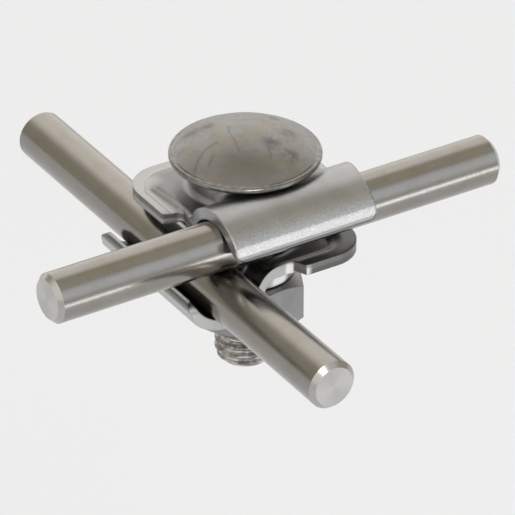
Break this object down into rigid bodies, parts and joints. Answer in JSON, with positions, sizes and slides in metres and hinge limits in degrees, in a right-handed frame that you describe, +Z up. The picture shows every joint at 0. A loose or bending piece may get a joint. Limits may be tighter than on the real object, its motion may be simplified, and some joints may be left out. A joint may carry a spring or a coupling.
{
  "type": "earthing conductor cross clamp",
  "caption": "Cross clamp: pressed steel plates drawn together by a mushroom head bolt and nut grip round earthing conductors that pass each other at right angles.",
  "frame": {"origin": "centre of the lower conductor's front end face, where the row is held", "axes": "+Y along the lower conductor, away from its front end; +X along the upper conductor; +Z up along the bolt, towards its head"},
  "size_m": [0.0794, 0.0879, 0.0409],
  "materials": {
    "conductor_steel": "drawn stainless steel wire with a soft sheen and fine lengthwise marks",
    "plate_steel": "satin pressed stainless steel with a fine sparkle and bright sheared edges",
    "bolt_steel": "dull forged steel head with faint creases and light brown stains, bright rim, dark thread",
    "nut_steel": "plain satin steel"
  },
  "bodies": {
    "lower_run": {"lower_conductor": "conductor_steel"},
    "lower_half": {"lower_clamp_plate": "plate_steel"},
    "upper_half": {"mushroom_head_bolt": "bolt_steel", "upper_clamp_plate": "plate_steel"},
    "upper_run": {"upper_conductor": "conductor_steel"},
    "nut": {"hex_nut": "nut_steel"}
  },
  "joints": [
    {"name": "clamp_slide", "type": "slide", "parent": "lower_run", "child": "lower_half", "axis": [0, 1, 0], "range_m": [-0.029, 0.03]},
    {"name": "swivel", "type": "hinge", "parent": "lower_half", "child": "upper_half", "pos_m": [0.01175, 0.0442, 0.004], "axis": [0, 0, 1], "continuous": true},
    {"name": "upper_conductor_slide", "type": "slide", "parent": "upper_half", "child": "upper_run", "axis": [1, 0, 0], "range_m": [-0.024, 0.028]},
    {"name": "nut_travel", "type": "slide", "parent": "upper_half", "child": "nut", "axis": [0, 0, -1], "range_m": [0, 0.0075]}
  ]
}
